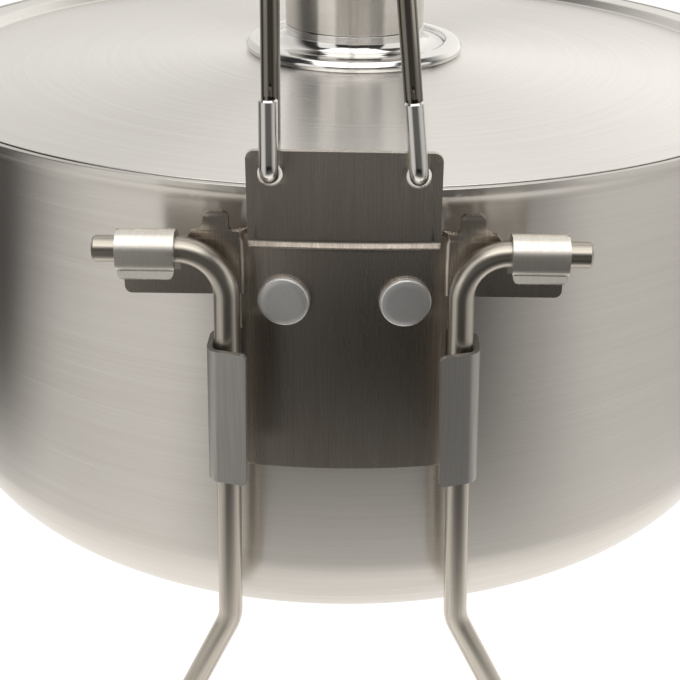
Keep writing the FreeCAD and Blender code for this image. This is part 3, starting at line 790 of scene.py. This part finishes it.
def round_lines(g):
    """Lines that run round the pot's axis, on upright and level faces alike."""
    x, y, z = g.split(g.object_place())
    radius = g.math("SQRT", g.math("ADD", g.math("MULTIPLY", x, x), g.math("MULTIPLY", y, y)))
    return g.join(g.math("MULTIPLY", x, ROUND), g.math("MULTIPLY", y, ROUND), g.math("ADD", z, radius))


def upright_lines(g):
    """Lines that run up and down a plate facing front or back."""
    x, y, z = g.split(g.object_place())
    return g.join(g.math("MULTIPLY", z, ALONG), g.math("MULTIPLY", y, 0.3), x)


def wire_lines(g):
    """Lines along a wire."""
    return g.vector_math("MULTIPLY", g.wire_grain(), (ALONG, 1.0, 1.0))


def no_lines(g):
    """The same grain every way."""
    return g.object_place()


CLOUDS = 14.0                        # noise scale of the broad patches in all the steel
COARSE = 0.17                        # scale of the wider brush lines, as a share of the fine ones'
DARKEST, LIGHTEST = 0.35, 0.65       # the part of the mixed noise that colour and finish span


def brushed(name, dark, light, lines_of, fine, rough, depth, anisotropy=0.0, across=False):
    """Brushed steel between two colours. lines_of(graph) gives coordinates whose third axis
    crosses the brush lines, fine is the noise scale there, rough is the roughness of the light
    and of the dark lines, and depth is the height of the lines in millimetres. Anisotropy
    spreads reflections round the pot's axis, or with across set, at right angles to that."""
    material, g = new_material(name)
    shader = g.add("ShaderNodeBsdfPrincipled")
    g.put(g.add("ShaderNodeOutputMaterial"), "Surface", shader.outputs[0])
    lines = lines_of(g)
    hair = g.noise(lines, fine, detail=4.0, roughness=0.7)
    coarse = g.noise(lines, fine * COARSE)
    cloud = g.noise(g.object_place(), CLOUDS, detail=3.0, roughness=0.6)
    mix = g.mixed((hair, 0.55), (coarse, 0.22), (cloud, 0.23))
    light_rough, dark_rough = rough
    g.put(shader, "Base Color", g.blend(g.ramp(mix, DARKEST, LIGHTEST), dark, light))
    g.put(shader, "Roughness", g.ramp(mix, DARKEST, LIGHTEST, dark_rough, light_rough))
    g.put(shader, "Metallic", 1.0)
    if anisotropy:
        g.put(shader, "Anisotropic", anisotropy)
        g.put(shader, "Anisotropic Rotation", 0.25 if across else 0.0)
        tangent = g.add("ShaderNodeTangent", direction_type="RADIAL", axis="Z")
        g.put(shader, "Tangent", tangent.outputs[0])
    bump = g.add("ShaderNodeBump")
    g.put(bump, "Height", g.math("ADD", hair, g.math("MULTIPLY", coarse, 0.5)))
    g.put(bump, "Strength", 0.25)
    g.put(bump, "Distance", depth * MM)
    g.put(shader, "Normal", bump.outputs[0])
    return material


def paint_end_highlights(material, reach, colour):
    """Painted highlight: lighter colour near both ends of a wire, fading out over 2 mm at this reach."""
    g = Graph(material.node_tree)
    shader = next(n for n in g.tree.nodes if n.type == "BSDF_PRINCIPLED")
    usual = shader.inputs["Base Color"].links[0].from_socket
    from_end = g.split(g.wire_grain())[0]
    share = g.ramp(from_end, (reach - 1.0) * MM, (reach + 1.0) * MM)
    g.put(shader, "Base Color", g.blend(share, colour, usual))


def dress(pieces, material):
    for piece in pieces:
        piece.data.materials.clear()
        piece.data.materials.append(material)


pot_steel = brushed(
    "pot_steel", (0.54, 0.515, 0.48), (0.605, 0.585, 0.555), round_lines, 4200, (0.27, 0.32), 0.005,
    anisotropy=0.88, across=True)
lid_steel = brushed(
    "lid_steel", (0.705, 0.685, 0.655), (0.755, 0.74, 0.715), round_lines, 3600, (0.24, 0.28), 0.003,
    anisotropy=0.95, across=True)
plate_steel = brushed(
    "plate_steel", (0.38, 0.335, 0.29), (0.62, 0.57, 0.51), upright_lines, 4200, (0.24, 0.34), 0.006,
    anisotropy=0.75)
# The rolled straps are the same sheet as the wings, given a lighter copy of the plate steel: painted
# light, standing in for the brighter light that falls on the rolls.
painted_light_barrel_steel = brushed(
    "painted_light_barrel_steel", (0.64, 0.605, 0.55), (0.76, 0.735, 0.69), upright_lines, 2600, (0.36, 0.44), 0.004)
clip_steel = brushed(
    "clip_steel", (0.34, 0.33, 0.315), (0.45, 0.44, 0.42), upright_lines, 3600, (0.42, 0.52), 0.010)
wire_steel = brushed(
    "wire_steel", (0.35, 0.32, 0.275), (0.50, 0.47, 0.42), wire_lines, 2600, (0.26, 0.38), 0.02)
bail_steel = brushed(
    "bail_steel", (0.13, 0.12, 0.10), (0.22, 0.205, 0.18), wire_lines, 1800, (0.08, 0.18), 0.01)
rivet_steel = brushed(
    "rivet_steel", (0.62, 0.615, 0.61), (0.74, 0.735, 0.73), no_lines, 1400, (0.46, 0.54), 0.01)
knob_polish = brushed(
    "knob_polish", (0.68, 0.67, 0.65), (0.76, 0.75, 0.735), round_lines, 1200, (0.10, 0.15), 0.004)
knob_steel = brushed(
    "knob_steel", (0.56, 0.53, 0.49), (0.63, 0.61, 0.58), round_lines, 3600, (0.22, 0.28), 0.004,
    anisotropy=0.95, across=True)
fastener_steel = brushed(
    "fastener_steel", (0.45, 0.45, 0.44), (0.6, 0.6, 0.59), no_lines, 1200, (0.2, 0.34), 0.02)

# Painted highlight on the bails' hooks, where the bend through the flap catches the light.
HIGHLIGHT_REACH = HOOK_UP + 6.5          # from a bail's cut end to just past its bend through the flap
paint_end_highlights(bail_steel, HIGHLIGHT_REACH, (0.62, 0.61, 0.59))

dress([pot_shell], pot_steel)
dress([lid_panel], lid_steel)
dress([knob_foot], knob_polish)
dress([knob_stem, knob_cap], knob_steel)
dress(handles, wire_steel)
dress(bails, bail_steel)
dress(plates + wings, plate_steel)
dress(barrels, painted_light_barrel_steel)
dress(clips, clip_steel)
dress(heads, rivet_steel)
dress([frame["nodes"][n] for n in ("knob_insert", "knob_washer", "knob_screw")], fastener_steel)

# ------------------------------------------------------- floor, light and camera

FLOOR_HALF = 3.0
floor_corners = [(x * FLOOR_HALF, y * FLOOR_HALF, 0) for x, y in ((-1, -1), (1, -1), (1, 1), (-1, 1))]
floor_mesh = bpy.data.meshes.new("floor")
floor_mesh.from_pydata(floor_corners, [], [(0, 1, 2, 3)])
floor = bpy.data.objects.new("floor", floor_mesh)
bpy.context.scene.collection.objects.link(floor)

# How brightly the floor shows in the steel. Rings round the pot's axis: distance where the
# glow starts to change, distance where it stops, glow before and glow after.
GLOW_RINGS = ((0.125, 0.172, 1.40, 0.0), (0.148, 0.25, 0.20, 0.02), (0.31, 0.40, 0.02, 0.16))
# Glow at the front left, at the front right and behind: direction x and y, cosine of the angle
# to it where the glow starts, cosine where it is full, and the full glow.
GLOW_SIDES = ((-0.74, -0.67, 0.85, 0.97, 0.85), (0.93, -0.37, 0.70, 0.97, 0.75), (0, 1, 0.05, 0.5, 0.9))


def paper_with_painted_glow():
    """White paper for the camera. Seen in the steel it glows with painted light, bright near the pot and
    to the sides, and dim in front, a painted shadow where the photographer stands in the way of the
    light."""
    material, g = new_material("floor")
    level = g.vector_math("MULTIPLY", g.object_place(), (1, 1, 0))
    reach = g.vector_math("LENGTH", level, output="Value")
    way = g.vector_math("NORMALIZE", level)
    glows = [g.ramp(reach, *ring) for ring in GLOW_RINGS]
    for x, y, start, full, most in GLOW_SIDES:
        facing = g.vector_math("DOT_PRODUCT", way, (x, y, 0), output="Value")
        glows.append(g.ramp(facing, start, full, 0.0, most))
    glow = glows[0]
    for other in glows[1:]:
        glow = g.math("MAXIMUM", glow, other)
    seen_in_steel = g.add("ShaderNodeEmission")
    g.put(seen_in_steel, "Color", (1.0, 0.97, 0.93, 1))
    g.put(seen_in_steel, "Strength", glow)
    white = g.add("ShaderNodeEmission")
    g.put(white, "Strength", 0.92)
    paper = g.add("ShaderNodeBsdfDiffuse")
    g.put(paper, "Color", (0.3, 0.3, 0.3, 1))
    lit = g.add("ShaderNodeAddShader")
    g.put(lit, 0, white.outputs[0])
    g.put(lit, 1, paper.outputs[0])
    choose = g.add("ShaderNodeMixShader")
    g.put(choose, 0, g.camera_ray())
    g.put(choose, 1, seen_in_steel.outputs[0])
    g.put(choose, 2, lit.outputs[0])
    g.put(g.add("ShaderNodeOutputMaterial"), "Surface", choose.outputs[0])
    return material


dress([floor], paper_with_painted_glow())


def studio_world():
    """As the steel sees the room, white behind the pot, dim in front of it and a little
    brighter on the right. The camera sees plain white."""
    world = bpy.data.worlds.new("studio")
    world.use_nodes = True
    g = Graph(world.node_tree)
    background = g.tree.nodes["Background"]
    g.put(background, "Color", (1.0, 0.975, 0.94, 1))
    x, y, _ = g.split(g.add("ShaderNodeTexCoord").outputs["Generated"])
    behind = g.ramp(y, -0.05, 0.6, 0.04, 1.0, curve="SMOOTHSTEP")
    aside = g.ramp(x, -0.4, 0.4, 0.83, 1.22)
    room = g.math("MULTIPLY", behind, aside)
    plain = g.math("MULTIPLY", g.camera_ray(), 1.15)
    g.put(background, "Strength", g.math("MAXIMUM", room, plain))
    return world


bpy.context.scene.world = studio_world()


def softbox(name, at, aim, width, height, radiance):
    """A rectangular soft light of a given brightness as seen in a reflection."""
    light = bpy.data.lights.new(name, "AREA")
    light.shape = "RECTANGLE"
    light.size, light.size_y = width, height
    light.energy = radiance * math.pi * width * height
    light.color = (1.0, 0.98, 0.95)
    lamp = bpy.data.objects.new(name, light)
    bpy.context.scene.collection.objects.link(lamp)
    lamp.location = at
    lamp.rotation_mode = "QUATERNION"
    lamp.rotation_quaternion = (Vector(aim) - Vector(at)).to_track_quat("-Z", "Y")


softbox("left", (-0.57, -0.55, 0.34), (0, 0, 0.10), 0.46, 0.7, 1.05)
softbox("right", (0.80, -0.32, 0.34), (0, 0, 0.10), 0.60, 0.7, 1.0)
softbox("overhead", (0.0, -0.35, 0.95), (0, -0.1, 0.10), 1.2, 0.9, 2.0)
softbox("front", (0.0, -0.85, 0.80), (0, -0.1, 0.10), 0.9, 0.4, 1.5)

CAMERA_AT = Vector((0.00347, -0.26255, 0.17272))
PITCH, YAW, ROLL = 25.2, 2.29, 1.68  # degrees down, to the right and round the view
SENSOR, LENS = 36.0, 62.84
SHIFT_X, SHIFT_Y = -0.103, -0.054    # as in a crop from beside the middle of a wider view
camera_data = bpy.data.cameras.new("camera")
camera_data.sensor_width = SENSOR
camera_data.lens = LENS
camera_data.shift_x, camera_data.shift_y = SHIFT_X, SHIFT_Y
camera_data.clip_start = 0.01
camera = bpy.data.objects.new("camera", camera_data)
bpy.context.scene.collection.objects.link(camera)
camera.location = CAMERA_AT
pitch, yaw = math.radians(PITCH), math.radians(YAW)
gaze = Vector((math.sin(yaw) * math.cos(pitch), math.cos(yaw) * math.cos(pitch), -math.sin(pitch)))
camera.rotation_mode = "QUATERNION"
camera.rotation_quaternion = gaze.to_track_quat("-Z", "Y") @ Quaternion((0, 0, 1), math.radians(ROLL))
bpy.context.scene.camera = camera
bpy.context.scene.view_settings.view_transform = "Standard"
